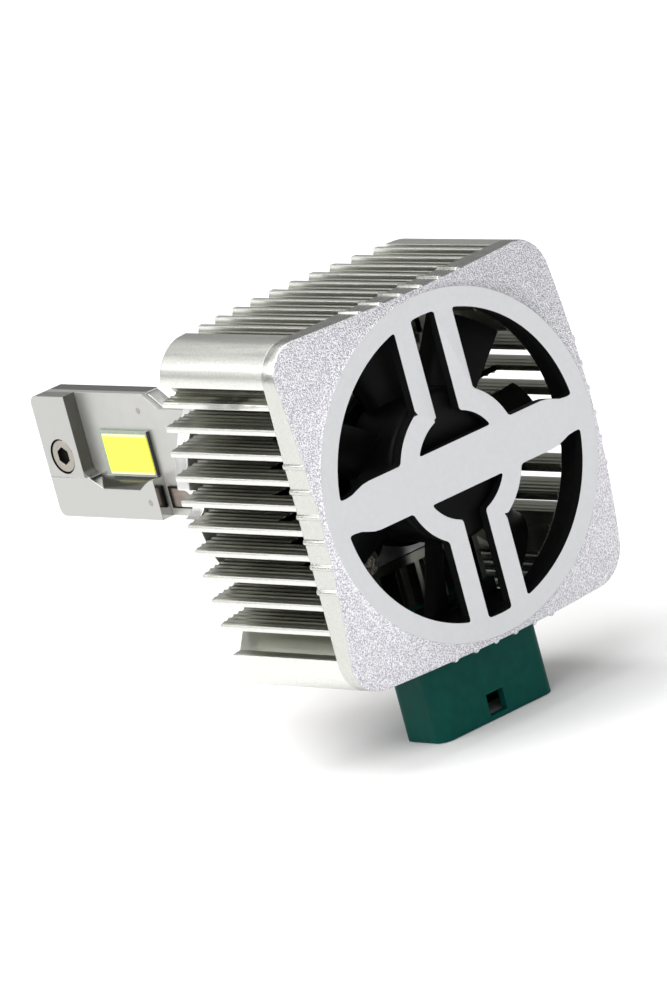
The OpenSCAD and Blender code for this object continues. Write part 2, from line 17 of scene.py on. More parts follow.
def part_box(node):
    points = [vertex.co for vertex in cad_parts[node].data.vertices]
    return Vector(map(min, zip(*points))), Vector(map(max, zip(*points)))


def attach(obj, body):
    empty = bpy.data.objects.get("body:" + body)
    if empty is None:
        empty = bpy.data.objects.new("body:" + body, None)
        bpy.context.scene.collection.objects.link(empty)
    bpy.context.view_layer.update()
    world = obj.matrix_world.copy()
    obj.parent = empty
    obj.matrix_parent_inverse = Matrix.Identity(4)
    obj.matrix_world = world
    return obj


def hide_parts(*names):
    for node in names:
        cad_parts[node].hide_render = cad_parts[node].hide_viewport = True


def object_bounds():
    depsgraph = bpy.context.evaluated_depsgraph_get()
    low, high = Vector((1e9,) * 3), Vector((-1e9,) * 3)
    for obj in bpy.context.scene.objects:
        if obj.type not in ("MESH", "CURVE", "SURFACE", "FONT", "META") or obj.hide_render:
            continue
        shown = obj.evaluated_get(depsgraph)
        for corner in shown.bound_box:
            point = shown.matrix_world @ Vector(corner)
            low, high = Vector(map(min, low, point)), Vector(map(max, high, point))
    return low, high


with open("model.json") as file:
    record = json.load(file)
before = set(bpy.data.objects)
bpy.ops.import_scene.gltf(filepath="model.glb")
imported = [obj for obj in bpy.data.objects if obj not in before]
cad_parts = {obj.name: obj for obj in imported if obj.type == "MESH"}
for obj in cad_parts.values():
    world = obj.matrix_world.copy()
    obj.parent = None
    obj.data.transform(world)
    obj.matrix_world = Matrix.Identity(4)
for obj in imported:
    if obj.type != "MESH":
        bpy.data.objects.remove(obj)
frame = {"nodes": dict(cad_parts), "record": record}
model_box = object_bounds()
nodes = frame["nodes"]
MM = 0.001

# The body's half width and corner radius in millimetres, and the power that gives those corners
HALF, CORNER_RADIUS, SQUARENESS = 19.6, 4, 11.0
FINISH_OF = {part["node"]: part["material_slot"] for part in frame["record"]["subparts"]}
BODIES = frame["record"]["behaviour"]["bodies"]
BODY_OF = {node: body for body, names in BODIES.items() for node in names}
print(len(nodes), "pieces in", len(set(FINISH_OF.values())), "finishes")

# %% [markdown]
# ## The camera
#
# A long lens from about a metre away keeps the square cover nearly square, so all its sides look
# alike in length. The camera is set by where it stands and by two directions, to its right and
# straight ahead. The third direction follows from those two, which is easier to get right than
# three turns, because a tilted camera turns about an axis that is already leaning.

# %% Camera
camera_data = bpy.data.cameras.new("camera")
camera_data.lens = 349.8
camera_data.sensor_width = 36
camera_data.clip_start = 0.01
camera = bpy.data.objects.new("camera", camera_data)
bpy.context.scene.collection.objects.link(camera)
bpy.context.scene.camera = camera

to_the_right = Vector((0.73847, -0.62499, -0.25306)).normalized()
ahead = Vector((0.57991, 0.78018, -0.23457)).normalized()
upward = to_the_right.cross(ahead)
turn = Matrix((to_the_right, upward, -ahead)).transposed().to_4x4()
camera.matrix_world = Matrix.Translation(Vector((-608.11, -823.27, 241.34)) * MM) @ turn
print("camera", round(camera.location.length, 3), "m from the seat")

# %% [markdown]
# ## The room
#
# Bright metal shows what is round it more than its own colour. So the room is a pale floor, a sky,
# and four large lamps with soft edges. One hangs over the left shoulder and brightens the cover, one
# rakes along the fins, one hangs overhead, and a weak one stands before the cover. The sky is lighter
# on the cover's side and darker beyond the blade, so that the tops of the metal pieces turn grey
# while their left faces stay bright. Colours are shown as they are, without a film curve, because
# such a curve would turn the white floor and the bright silver into the same flat grey.

# %% Floor and sky
floor_mesh = bpy.data.meshes.new("floor")
floor_z = model_box[0][2] - 0.1 * MM
floor_mesh.from_pydata(
    [(-4, -4, floor_z), (4, -4, floor_z), (4, 4, floor_z), (-4, 4, floor_z)], [], [(0, 1, 2, 3)])
floor = bpy.data.objects.new("floor", floor_mesh)
bpy.context.scene.collection.objects.link(floor)

sky = bpy.data.worlds.new("sky")
sky.use_nodes = True
sky.node_tree.nodes["Background"].inputs["Color"].default_value = (1, 1, 1, 1)
sky_side = sky.node_tree.nodes.new("ShaderNodeVectorMath")
sky_side.operation = "DOT_PRODUCT"
sky_side.inputs[1].default_value = (0.57, 0.80, 0.18)
sky_light = sky.node_tree.nodes.new("ShaderNodeMapRange")
sky_light.interpolation_type = "SMOOTHSTEP"
for input_name, value in (("From Min", -0.6), ("From Max", 0.9), ("To Min", 0.55), ("To Max", 0.24)):
    sky_light.inputs[input_name].default_value = value
sky_spot = sky.node_tree.nodes.new("ShaderNodeTexCoord")
for source, target in ((sky_spot.outputs["Generated"], sky_side.inputs[0]),
                       (sky_side.outputs["Value"], sky_light.inputs["Value"]),
                       (sky_light.outputs["Result"], sky.node_tree.nodes["Background"].inputs["Strength"])):
    sky.node_tree.links.new(source, target)
bpy.context.scene.world = sky
bpy.context.scene.view_settings.view_transform = "Standard"
print("floor at", round(floor_z / MM, 1), "mm")


# %% Lamps
def soft_lamp(name, place, size, watts):
    """A square lamp of that size in metres, which hangs at place and faces the middle of the bulb."""
    data = bpy.data.lights.new(name, "AREA")
    data.size = size
    data.energy = watts
    lamp = bpy.data.objects.new(name, data)
    lamp.location = place
    lamp.rotation_euler = (-Vector(place)).to_track_quat("-Z", "Y").to_euler()
    bpy.context.scene.collection.objects.link(lamp)


soft_lamp("over_the_left_shoulder", (-0.9, -0.8, 1.1), 1.0, 11)
soft_lamp("along_the_fins", (-1.0, 0.7, 0.8), 0.8, 9)
soft_lamp("over_the_top", (-0.1, 0.4, 1.4), 1.2, 18)
soft_lamp("before_the_cover", (0.35, -1.2, 0.4), 0.6, 1)
print("lamps:", len(bpy.data.lights))

# %% [markdown]
# ## How a finish is made
#
# Every finish is one shader with the colour, the metal and the roughness set on it. A few helpers add
# what makes it look made rather than drawn: uneven roughness, uneven colour, colour that depends on
# the place, and fine relief. All of them read places on the piece itself, so a pattern stays put when
# a piece turns.


# %% Helpers for finishes
class Finish:
    """One material and the few things that are done to it."""

    def __init__(self, name, colour, metal, rough):
        self.material = bpy.data.materials.new(name)
        self.material.use_nodes = True
        self.tree = self.material.node_tree
        self.shader = self.tree.nodes["Principled BSDF"]
        self.set("Base Color", (*colour, 1))
        self.set("Metallic", metal)
        self.set("Roughness", rough)
        self.relief = None
        self.paint = None

    def set(self, socket, value):
        """A constant, straight on the shader."""
        self.shader.inputs[socket].default_value = value
        return self

    def node(self, kind, **inputs):
        """A node of that kind, with constants or links on the named inputs."""
        made = self.tree.nodes.new("ShaderNode" + kind)
        for key, value in inputs.items():
            socket = made.inputs[key.replace("_", " ")]
            if isinstance(value, bpy.types.NodeSocket):
                self.tree.links.new(value, socket)
            else:
                socket.default_value = value
        return made

    def place(self, stretch=(1, 1, 1)):
        """Where a point is on the piece, in metres, stretched along each axis."""
        spot = self.node("TexCoord").outputs["Object"]
        return self.node("Mapping", Vector=spot, Scale=stretch).outputs["Vector"]

    def grain(self, size, stretch=(1, 1, 1), detail=3.0, crumble=0.5):
        """Cloudy noise from 0 to 1, with clumps of that size in metres."""
        return self.node("TexNoise", Vector=self.place(stretch), Scale=1 / size, Detail=detail,
                         Roughness=crumble).outputs["Fac"]

    def spread(self, factor, low, high, start=0.3, end=0.7):
        """A factor from start to end, stretched to run from low to high."""
        return self.node("MapRange", Value=factor, From_Min=start, From_Max=end,
                         To_Min=low, To_Max=high).outputs["Result"]

    def roughness(self, factor, low, high):
        """Roughness that follows a factor."""
        self.tree.links.new(self.spread(factor, low, high), self.shader.inputs["Roughness"])
        return self

    def colours(self, factor, dark, light, start=0.3, end=0.7):
        """Colour that goes from dark to light with a factor."""
        self.shader.inputs["Base Color"].default_value = (*dark, 1)
        return self.tinted(self.spread(factor, 0, 1, start, end), light)

    def tinted(self, amount, colour):
        """Colour that goes from what it is so far to the given one, as the amount goes from 0 to 1."""
        mix = self.tree.nodes.new("ShaderNodeMix")
        mix.data_type = "RGBA"
        mix.inputs[6].default_value = self.shader.inputs["Base Color"].default_value
        mix.inputs[7].default_value = (*colour, 1)
        if self.paint:
            self.tree.links.new(self.paint, mix.inputs[6])
        self.tree.links.new(amount, mix.inputs[0])
        self.paint = mix.outputs[2]
        self.tree.links.new(self.paint, self.shader.inputs["Base Color"])
        return self

    def along(self, axis):
        """Where a point is on the piece along X, Y or Z, in metres."""
        return self.node("SeparateXYZ", Vector=self.place()).outputs[axis]

    def math(self, operation, first, second=0.0):
        """One step of arithmetic on one or two numbers or sockets."""
        made = self.tree.nodes.new("ShaderNodeMath")
        made.operation = operation
        for socket_number, value in enumerate((first, second)):
            if isinstance(value, bpy.types.NodeSocket):
                self.tree.links.new(value, made.inputs[socket_number])
            else:
                made.inputs[socket_number].default_value = value
        return made.outputs[0]

    def outward(self):
        """How far out a point is, as a share of the body's half width. Places with the same share lie on a
        square with round corners, because both distances are raised to a high power and summed."""
        ratios = [self.math("DIVIDE", self.along(axis), HALF * MM) for axis in ("X", "Z")]
        powers = [self.math("POWER", self.math("ABSOLUTE", ratio), SQUARENESS) for ratio in ratios]
        return self.math("POWER", self.math("ADD", *powers), 1 / SQUARENESS)

    def bump(self, height, depth, strength=1.0):
        """Fine relief of that depth in metres, laid over any relief already there."""
        made = self.node("Bump", Height=height, Distance=depth, Strength=strength)
        if self.relief:
            self.tree.links.new(self.relief, made.inputs["Normal"])
        self.relief = made.outputs["Normal"]
        self.tree.links.new(self.relief, self.shader.inputs["Normal"])
        return self

    def soft_edges(self, radius):
        """Edges that catch the light as if they were rounded to that radius."""
        made = self.node("Bevel", Radius=radius)
        made.samples = 6
        self.relief = made.outputs["Normal"]
        self.tree.links.new(self.relief, self.shader.inputs["Normal"])
        return self


finishes = {}
print("finish helpers ready")

# %% [markdown]
# ## Floor paint
#
# The floor is matte and almost white. A trace of cloudiness keeps it from looking like empty space.

# %% Floor finish
floor_paint = Finish("floor_paint", (0.91, 0.91, 0.91), 0.0, 0.8)
floor_paint.colours(floor_paint.grain(0.3), (0.90, 0.90, 0.90), (0.92, 0.92, 0.92))
floor_mesh.materials.append(floor_paint.material)
print(floor_paint.material.name)

# %% [markdown]
# ## Silver finishes
#
# The heat sink, the cover, the collar and the stem are all aluminium, yet they look different. The
# sink is extruded, so it has long, faint draw lines along the axis, and little light gets down between
# its fins, so their colour is darkened there with painted shade. The cover's cone is blasted with
# coarse grit, which leaves a strong sparkle, while its flat face is smooth and its side band is satin.
# The collar and stem are turned, so their marks run round the axis.

# %% Silver of the heat sink
sink = Finish("sink_silver", (0.74, 0.74, 0.70), 1.0, 0.33).soft_edges(0.12 * MM)
draw_lines = sink.grain(0.35 * MM, stretch=(1, 0.03, 1), detail=2)
sink.roughness(draw_lines, 0.31, 0.36)
sink.colours(sink.grain(0.25 * MM), (0.68, 0.68, 0.64), (0.79, 0.79, 0.75))
# Painted shade: the colour darkens inside the fins' outer edges, and darker still deeper between the fins
sink.tinted(sink.spread(sink.outward(), 1.0, 0.0, 0.98, 0.992), (0.42, 0.425, 0.375))
sink.tinted(sink.spread(sink.outward(), 0.5, 0.0, 0.66, 0.98), (0.13, 0.135, 0.12))
sink.bump(draw_lines, 0.006 * MM, 0.3)
sink.bump(sink.grain(0.2 * MM), 0.016 * MM, 0.6)
finishes["sink_silver"] = sink
print("sink_silver")

# %% Blasted silver of the cover's cone
cover = Finish("cover_silver", (0.82, 0.81, 0.85), 0.8, 0.38).soft_edges(0.1 * MM)
sparkle = cover.grain(0.15 * MM, detail=1, crumble=0.4)
cover.roughness(sparkle, 0.30, 0.46)
cover.colours(sparkle, (0.46, 0.45, 0.49), (0.90, 0.89, 0.93), 0.38, 0.60)
cover.bump(sparkle, 0.15 * MM, 1.0)
finishes["cover_silver"] = cover
print("cover_silver")

# %% Painted silver of the cover's face, and satin silver of its band
face_silver = Finish("face_silver", (0.61, 0.615, 0.63), 0.6, 0.48).soft_edges(0.1 * MM)
face_silver.colours(face_silver.grain(0.5 * MM), (0.60, 0.605, 0.62), (0.62, 0.625, 0.64))
face_silver.bump(face_silver.grain(0.15 * MM), 0.008 * MM, 0.4)

band_silver = Finish("band_silver", (0.56, 0.565, 0.53), 1.0, 0.27)
band_silver.roughness(band_silver.grain(1.0 * MM), 0.24, 0.32)
band_silver.colours(band_silver.grain(0.3 * MM), (0.54, 0.545, 0.51), (0.58, 0.585, 0.55))
band_silver.bump(band_silver.grain(0.2 * MM), 0.006 * MM, 0.4)
print("face_silver, band_silver")

# %% Turned silver of the collar and stem
TURNED = {"collar_silver": (0.80, 0.79, 0.78), "stem_silver": (0.74, 0.745, 0.73)}
for turned_name, turned_colour in TURNED.items():
    turned = Finish(turned_name, turned_colour, 1.0, 0.32).soft_edges(0.15 * MM)
    turn_marks = turned.grain(0.25 * MM, stretch=(0.08, 1, 0.08), detail=2)
    turned.roughness(turn_marks, 0.27, 0.37)
    turned.bump(turn_marks, 0.005 * MM, 0.4)
    finishes[turned_name] = turned
print("collar_silver, stem_silver")

# %% [markdown]
# ## Silver of the blade
#
# The blade's blocks are satin and its reflector bars are polished. A block ends in a step with a small
# round at its foot, and little light gets into that corner, so painted shade darkens the satin towards
# it. The step is found by its place along the axis.

# %% Satin silver of the blade, and its polished bars
blade = Finish("blade_silver", (0.47, 0.47, 0.455), 1.0, 0.36).soft_edges(0.1 * MM)
blade_grain = blade.grain(0.3 * MM, detail=3)
blade.roughness(blade_grain, 0.32, 0.44)
blade.colours(blade_grain, (0.46, 0.46, 0.445), (0.48, 0.48, 0.465))
# Painted shade: the satin's colour darkens towards the step at the foot of a block
towards_the_step = blade.spread(blade.along("Y"), 0, 0.85, 34.75 * MM, 35.5 * MM)
before_the_block = blade.spread(blade.along("Y"), 1, 0, 35.77 * MM, 35.83 * MM)
blade.tinted(blade.math("MULTIPLY", towards_the_step, before_the_block), (0.09, 0.09, 0.075))
blade.bump(blade_grain, 0.006 * MM, 0.5)
finishes["blade_silver"] = blade

polish = Finish("polished_bar", (0.46, 0.46, 0.44), 1.0, 0.14).soft_edges(0.12 * MM)
polish.roughness(polish.grain(1.2 * MM, stretch=(1, 0.2, 1)), 0.10, 0.22)
finishes["polished_bar"] = polish
print("blade_silver, polished_bar")

# %% [markdown]
# ## Finishes of the light source
#
# Each LED is a ceramic case with a block of yellow phosphor in clear silicone. The phosphor isn't
# lit, so it is only a strong colour with a wet shine, and it pales along its two long edges. The case
# goes nearly black at its end towards the stem. The board round it has a pale solder mask, and a
# tarnished copper strip runs back into the stem, with painted shade along its two edges and over its
# end towards the tip.

# %% Phosphor, case, board and strip
phosphor = Finish("phosphor", (1.0, 0.94, 0.05), 0.0, 0.32)
phosphor.colours(phosphor.grain(0.7 * MM), (0.97, 0.90, 0.025), (1.0, 0.95, 0.05))
phosphor_side = phosphor.math("MULTIPLY", phosphor.math("SIGN", phosphor.along("X")), 0.15 * MM)
off_its_middle = phosphor.math("ABSOLUTE", phosphor.math("ADD", phosphor.along("Z"), phosphor_side))
phosphor.tinted(phosphor.spread(off_its_middle, 0, 1, 2.0 * MM, 2.15 * MM), (0.72, 0.71, 0.46))
phosphor.bump(phosphor.grain(0.15 * MM), 0.01 * MM, 0.4)
phosphor.set("Coat Weight", 0.3).set("Coat Roughness", 0.2)
finishes["phosphor"] = phosphor

case = Finish("led_case", (0.62, 0.66, 0.58), 0.0, 0.4).soft_edges(0.05 * MM)
case.colours(case.grain(0.4 * MM), (0.22, 0.27, 0.22), (0.33, 0.38, 0.32))
# The case goes nearly black at its end towards the stem
case.tinted(case.spread(case.along("Y"), 1, 0, 23.93 * MM, 23.97 * MM), (0.015, 0.018, 0.015))
finishes["led_case"] = case

board = Finish("board_copper", (0.46, 0.46, 0.44), 0.7, 0.38).soft_edges(0.06 * MM)
board.colours(board.grain(1.5 * MM), (0.455, 0.455, 0.435), (0.48, 0.48, 0.46))
finishes["board_copper"] = board

strip = Finish("strip_copper", (0.28, 0.24, 0.21), 1.0, 0.45).soft_edges(0.05 * MM)
strip.colours(strip.grain(0.6 * MM, stretch=(1, 0.3, 1)), (0.25, 0.21, 0.185), (0.33, 0.285, 0.25))
# Painted shade: the strip goes nearly black along its two long edges and over its end towards the tip
PAINTED_SHADE = (0.012, 0.011, 0.010)
STRIP_MIDDLE = 4.85 * MM
up_or_down = strip.math("ABSOLUTE", strip.along("Z"))
off_its_line = strip.math("ABSOLUTE", strip.math("SUBTRACT", up_or_down, STRIP_MIDDLE))
strip.tinted(strip.spread(off_its_line, 0, 1, 1.02 * MM, 1.08 * MM), PAINTED_SHADE)
strip.tinted(strip.spread(strip.along("Y"), 0, 1, 22.0 * MM, 22.5 * MM), PAINTED_SHADE)
finishes["strip_copper"] = strip
print("phosphor, led_case, board_copper, strip_copper")

# %% [markdown]
# ## Steels, brass and copper
#
# Small hardware needs only an uneven shine to look real. One recipe with a colour and a range of
# roughness covers all of it, so the recipe is a function and each metal is one line.


# %% Small metals
def worn_metal(name, colour, smooth, rough, size=0.5 * MM):
    """Bare metal whose roughness drifts from smooth to rough, in clumps of that size."""
    made = Finish(name, colour, 1.0, rough).soft_edges(0.06 * MM)
    wear = made.grain(size, detail=4)
    made.roughness(wear, smooth, rough)
    made.colours(wear, tuple(c * 0.85 for c in colour), colour)
    made.bump(wear, 0.01 * MM, 0.4)
    finishes[name] = made


worn_metal("screw_steel", (0.38, 0.355, 0.31), 0.22, 0.4)
worn_metal("screw_black", (0.10, 0.10, 0.105), 0.3, 0.5)
worn_metal("shaft_steel", (0.75, 0.75, 0.76), 0.1, 0.2)
worn_metal("sleeve_bronze", (0.70, 0.50, 0.28), 0.25, 0.4)
worn_metal("yoke_steel", (0.50, 0.51, 0.53), 0.25, 0.4)
worn_metal("pin_gold", (0.86, 0.68, 0.32), 0.15, 0.3)
worn_metal("lid_grey", (0.56, 0.56, 0.57), 0.3, 0.5, 1.5 * MM)
worn_metal("coil_copper", (0.72, 0.34, 0.15), 0.2, 0.4, 0.3 * MM)
print("small metals")

# %% [markdown]
# ## Plastics, rubber and boards
#
# Moulded plastic has a fine spark-eroded texture from its mould, and its colour hardly varies. Rubber
# is duller. Both get relief from a fine noise, and a slow change of roughness over the whole piece.


# %% Moulded finishes
def moulded(name, colour, rough, size=0.25 * MM, depth=0.015 * MM, shine=0.5):
    """Moulded plastic or rubber, with mould texture of that size and depth."""
    made = Finish(name, colour, 0.0, rough).soft_edges(0.1 * MM)
    made.set("Specular IOR Level", shine)
    made.roughness(made.grain(3 * MM), rough - 0.07, rough + 0.07)
    made.colours(made.grain(1.5 * MM), tuple(c * 0.88 for c in colour), tuple(c * 1.08 for c in colour))
    made.bump(made.grain(size, detail=2), depth, 0.6)
    finishes[name] = made


moulded("connector_green", (0.002, 0.058, 0.047), 0.45, shine=0.08)
moulded("fan_black", (0.003, 0.003, 0.003), 0.42, shine=0.08)
moulded("chip_black", (0.02, 0.02, 0.02), 0.5)
moulded("magnet_black", (0.05, 0.05, 0.05), 0.7)
moulded("board_green", (0.03, 0.16, 0.07), 0.3)
moulded("capacitor_blue", (0.05, 0.07, 0.2), 0.35)
moulded("pad_blue", (0.42, 0.58, 0.68), 0.7)
moulded("seal_orange", (0.62, 0.20, 0.07), 0.5)
moulded("grommet_black", (0.03, 0.03, 0.03), 0.6)
moulded("wire_red", (0.5, 0.04, 0.03), 0.35)
moulded("opening_black", (0.005, 0.005, 0.005), 0.6, 0.2 * MM, 0.03 * MM, 0.12)
missing = sorted(set(FINISH_OF.values()) - set(finishes))
print("finishes:", len(finishes), "missing:", missing)


# %% [markdown]
# ## Eased edges
#
# A real edge is never sharp: a cutter, a mould or a tumbling drum leaves it slightly round, and that
# thin round line is what shines. The measured pieces come as loose triangles. A copy of each one has
# its triangles joined into whole faces, and a Bevel modifier then rounds every edge that turns more
# than 30 degrees. The copy stands for the measured piece, which stays hidden beneath it.


# %% Helpers for pieces
def add_piece(mesh, body, slot, *replaced):
    """An object for the mesh, which rides on the body, wears the slot's finish unless it brings its own, and
    stands for the replaced nodes."""
    piece = bpy.data.objects.new(mesh.name, mesh)
    bpy.context.scene.collection.objects.link(piece)
    if not mesh.materials:
        mesh.materials.append(finishes[slot].material)
    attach(piece, body)
    if replaced:
        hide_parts(*replaced)
    return piece


def whole_faces(node):
    """The node's mesh for editing, with its triangles joined into whole faces."""
    work = bmesh.new()
    work.from_mesh(nodes[node].data)
    bmesh.ops.remove_doubles(work, verts=work.verts, dist=1e-6)
    bmesh.ops.dissolve_limit(work, angle_limit=math.radians(0.7), verts=work.verts, edges=work.edges)
    return work


def eased_piece(node, work, radius, blackened=None, finish=None):
    """A piece from edited faces, with edges rounded to that radius. Faces for which blackened is true go
    black, and the rest wear the finish, or the node's own."""
    mesh = bpy.data.meshes.new(node + "_eased")
    for face in work.faces:
        face.smooth = True
        face.material_index = 1 if blackened and blackened(face) else 0
    work.to_mesh(mesh)
    work.free()
    mesh.set_sharp_from_angle(angle=math.radians(28))
    mesh.materials.append((finish or finishes[FINISH_OF[node]]).material)
    if blackened:
        mesh.materials.append(finishes["opening_black"].material)
    piece = add_piece(mesh, BODY_OF[node], FINISH_OF[node], node)
    bevel = piece.modifiers.new("eased edges", "BEVEL")
    bevel.width = radius
    bevel.segments = 2
    bevel.limit_method = "ANGLE"
    bevel.angle_limit = math.radians(30)
    bevel.use_clamp_overlap = True
    bevel.harden_normals = True
    return piece


def grid_faces(rows, columns, close_rows=False, close_columns=False):
    """Four-cornered faces between neighbouring points of a grid, as an array of point numbers."""
    row = np.arange(rows if close_rows else rows - 1)[:, None]
    column = np.arange(columns if close_columns else columns - 1)[None, :]
    next_row, next_column = (row + 1) % rows, (column + 1) % columns
    corners = [row * columns + column, row * columns + next_column,
               next_row * columns + next_column, next_row * columns + column]
    return np.stack(np.broadcast_arrays(*corners), -1).reshape(-1, 4)


def mesh_of(name, points, faces, sharp=30):
    """A mesh from points in millimetres and faces, with doubles merged, normals outward, and smooth shading
    except across edges that turn more than sharp degrees."""
    mesh = bpy.data.meshes.new(name)
    mesh.from_pydata((np.asarray(points) * MM).tolist(), [], np.asarray(faces).tolist())
    work = bmesh.new()
    work.from_mesh(mesh)
    bmesh.ops.remove_doubles(work, verts=work.verts, dist=1e-7)
    bmesh.ops.recalc_face_normals(work, faces=work.faces)
    for face in work.faces:
        face.smooth = True
    work.to_mesh(mesh)
    work.free()
    mesh.set_sharp_from_angle(angle=math.radians(sharp))
    return mesh


print("piece helpers ready")

# %% [markdown]
# ## The grille in the cover's face
#
# The cover is silver outside, but the walls of its openings and everything behind them are black, so
# the fan seems to sit in a dark well. Those faces look towards the axis or forward, and lie inside the
# opening's radius, which is how they are picked out. A cutter can't leave a sharp inside corner, so
# the openings' upright corners are rounded first, with a Bevel modifier that goes by edge weight. The
# cone and the side band are taken away here, because a finer skin takes their place below.

# %% Grille
OPENING_RADIUS, RING_RADIUS = 17.3, 19.0


def inside_the_openings(face):
    """True for a wall of an opening, the bore behind it, and the back of a bar."""
    middle = face.calc_center_median()
    return math.hypot(middle.x, middle.z) < OPENING_RADIUS * MM and face.normal.y > -0.5


def on_the_skin(face):
    """True for a face of the cone or of the side band."""
    middle = face.calc_center_median()
    out, side = math.hypot(middle.x, middle.z) / MM, max(abs(middle.x), abs(middle.z)) / MM
    if abs(face.normal.y) < 0.3:
        return out > 24.5 or side > HALF - 0.4
    return face.normal.y < 0 and out > RING_RADIUS


def upright_corner(edge):
    """True for an edge along the axis where two walls of an opening meet."""
    first, second = (vertex.co for vertex in edge.verts)
    straight = math.hypot(first.x - second.x, first.z - second.z) < 1e-6
    inside = math.hypot(first.x, first.z) < (OPENING_RADIUS - 0.3) * MM
    return straight and inside and len(edge.link_faces) == 2 and edge.calc_face_angle() > math.radians(30)


grille = whole_faces("rear_cover")
bmesh.ops.delete(grille, geom=[face for face in grille.faces if on_the_skin(face)], context="FACES")
weight = grille.edges.layers.float.new("bevel_weight_edge")
corner_count = 0
for edge in grille.edges:
    if upright_corner(edge):
        edge[weight] = 1
        corner_count += 1
grille_piece = eased_piece("rear_cover", grille, 0.06 * MM, inside_the_openings, face_silver)
rounding = grille_piece.modifiers.new("rounded corners", "BEVEL")
rounding.width = 0.35 * MM
rounding.segments = 4
rounding.limit_method = "WEIGHT"
rounding.use_clamp_overlap = False
# The wide rounding comes first, so that the thin one also follows the corners it has made
grille_piece.modifiers.move(1, 0)
print(grille_piece.name, len(grille_piece.data.polygons), "faces,", corner_count, "upright corners")

# %% [markdown]
# ## The cover's cone and band
#
# Outside the flat ring the cover falls away as a shallow cone, which ends at the square side band.
# The band carries small half-round ribs, probably for grip. The skin is a grid: one direction goes once
# round the cover, the other goes from the ring down the cone, round the edge, down the band, and back
# inside to where it began, so it is closed. One row of the rounded edge wears a grey finish, which
# draws a thin grey line between the cone and the band.

# %% Cone and band
FIN_PITCH, FIN_SHIFT, FINS = 2.8, 0.7, 10
FIN_CENTRES = FIN_SHIFT + (np.arange(FINS) - (FINS - 1) / 2) * FIN_PITCH
RIBS, GRIP_RADIUS = FIN_CENTRES[2:8] - 0.95, 0.35
COVER_BACK, COVER_FRONT, RING_STEP, CONE_SLOPE = -28.7, -24.7, 0.2, 0.27
ROUND_STEPS = 2000


def cover_reach(angle):
    """How far out the cover's edge is at an angle round the axis. On a straight side it is the half width
    over the larger of cosine and sine, raised by a circle's arc at each rib. At a corner it is where a
    ray from the axis meets a circle about the corner's centre."""
    across, up = np.cos(angle), np.sin(angle)
    larger = np.maximum(abs(across), abs(up))
    sideways = abs(across) > abs(up)
    place = HALF * np.where(sideways, up, across) / larger
    turned_over = np.where(sideways, np.where(across > 0, -1, 1), np.where(up > 0, 1, -1))
    off = place[:, None] * turned_over[:, None] - RIBS[None, :]
    rib = (HALF - 0.1 + np.sqrt(np.clip(GRIP_RADIUS ** 2 - off ** 2, 0, None))).max(axis=1)
    straight = np.maximum(HALF, rib) / larger
    centre = HALF - CORNER_RADIUS
    slant = centre * (abs(across) + abs(up))
    corner = slant + np.sqrt(np.clip(slant ** 2 - 2 * centre ** 2 + CORNER_RADIUS ** 2, 0, None))
    return np.where(abs(place) > centre, corner, straight)


def cone(radius):
    """Where the cone lies along the axis: it rises by the same amount for each millimetre of radius."""
    return COVER_BACK + RING_STEP + CONE_SLOPE * (radius - RING_RADIUS)


def cover_skin(edge=0.18, foot=0.22):
    """Rings of points from just under the flat ring outwards, up its step to the cone's foot, and along the
    cone. The edge between cone and band is a quarter circle of radius edge."""
    angle = np.linspace(0, 2 * np.pi, ROUND_STEPS, endpoint=False)
    reach = cover_reach(angle)
    rings = [(0 * reach + RING_RADIUS - 0.2, 0 * reach + COVER_BACK + 0.1),
             (0 * reach + RING_RADIUS - 0.03, 0 * reach + COVER_BACK + 0.05),
             (0 * reach + RING_RADIUS + foot, 0 * reach + cone(RING_RADIUS + foot))]
    for part in (0.25, 0.5, 0.75):
        radius = (1 - part) * (RING_RADIUS + foot) + part * (reach - edge)
        rings.append((radius, cone(radius)))
    for turn in np.linspace(0, np.pi / 2, 5):
        rings.append((reach - edge + edge * np.sin(turn), cone(reach - edge) + edge * (1 - np.cos(turn))))
    rings.append((reach, 0 * reach + COVER_FRONT))
    rings.append((0 * reach + RING_RADIUS - 0.2, 0 * reach + COVER_FRONT - 0.05))
    radius, along = (np.array(column) for column in zip(*rings))
    points = np.stack([radius * np.cos(angle), along, radius * np.sin(angle)], -1).reshape(-1, 3)
    return points, grid_faces(len(rings), ROUND_STEPS, close_rows=True, close_columns=True)


skin_mesh = mesh_of("cover_skin", *cover_skin(), sharp=50)
skin_mesh.materials.append(finishes["cover_silver"].material)
skin_mesh.materials.append(band_silver.material)
skin_mesh.materials.append(finishes["lid_grey"].material)
# One row of the rounded edge between cone and band wears the grey finish, drawing a thin line there
LINE_ROW = 8
row = np.arange(len(skin_mesh.polygons)) // ROUND_STEPS
skin_mesh.polygons.foreach_set("material_index", np.where(row == LINE_ROW, 2, np.where(row > LINE_ROW, 1, 0)))
skin = add_piece(skin_mesh, "bulb", "cover_silver")
print(skin.name, len(skin_mesh.polygons), "faces")

# %% [markdown]
# ## Other eased pieces
#
# Three of them also have painted shade, in black: the connector's shoulder that shows inside the grille,
# the wall of the hole round the screw at the blade's tip, and that screw's six-sided socket.

# %% Eased pieces
EASED = {"collar": 0.2, "stem": 0.15, "connector_housing": 0.22, "left_tip_block": 0.14,
         "right_tip_block": 0.14, "left_reflector_bar": 0.1, "right_reflector_bar": 0.1,
         "tip_screw": 0.1, "stem_screws": 0.12, "connector_screws": 0.12, "cover_screws": 0.12,
         "fan_screws": 0.1, "led_board": 0.05, "left_led": 0.05, "right_led": 0.05, "fan_base": 0.15}
SCREW_AT = 38.8


def within_the_cover(face):
    """True for the connector's faces that lie inside the fan's bore."""
    middle = face.calc_center_median()
    return middle.z > -18 * MM and middle.y < -17.5 * MM


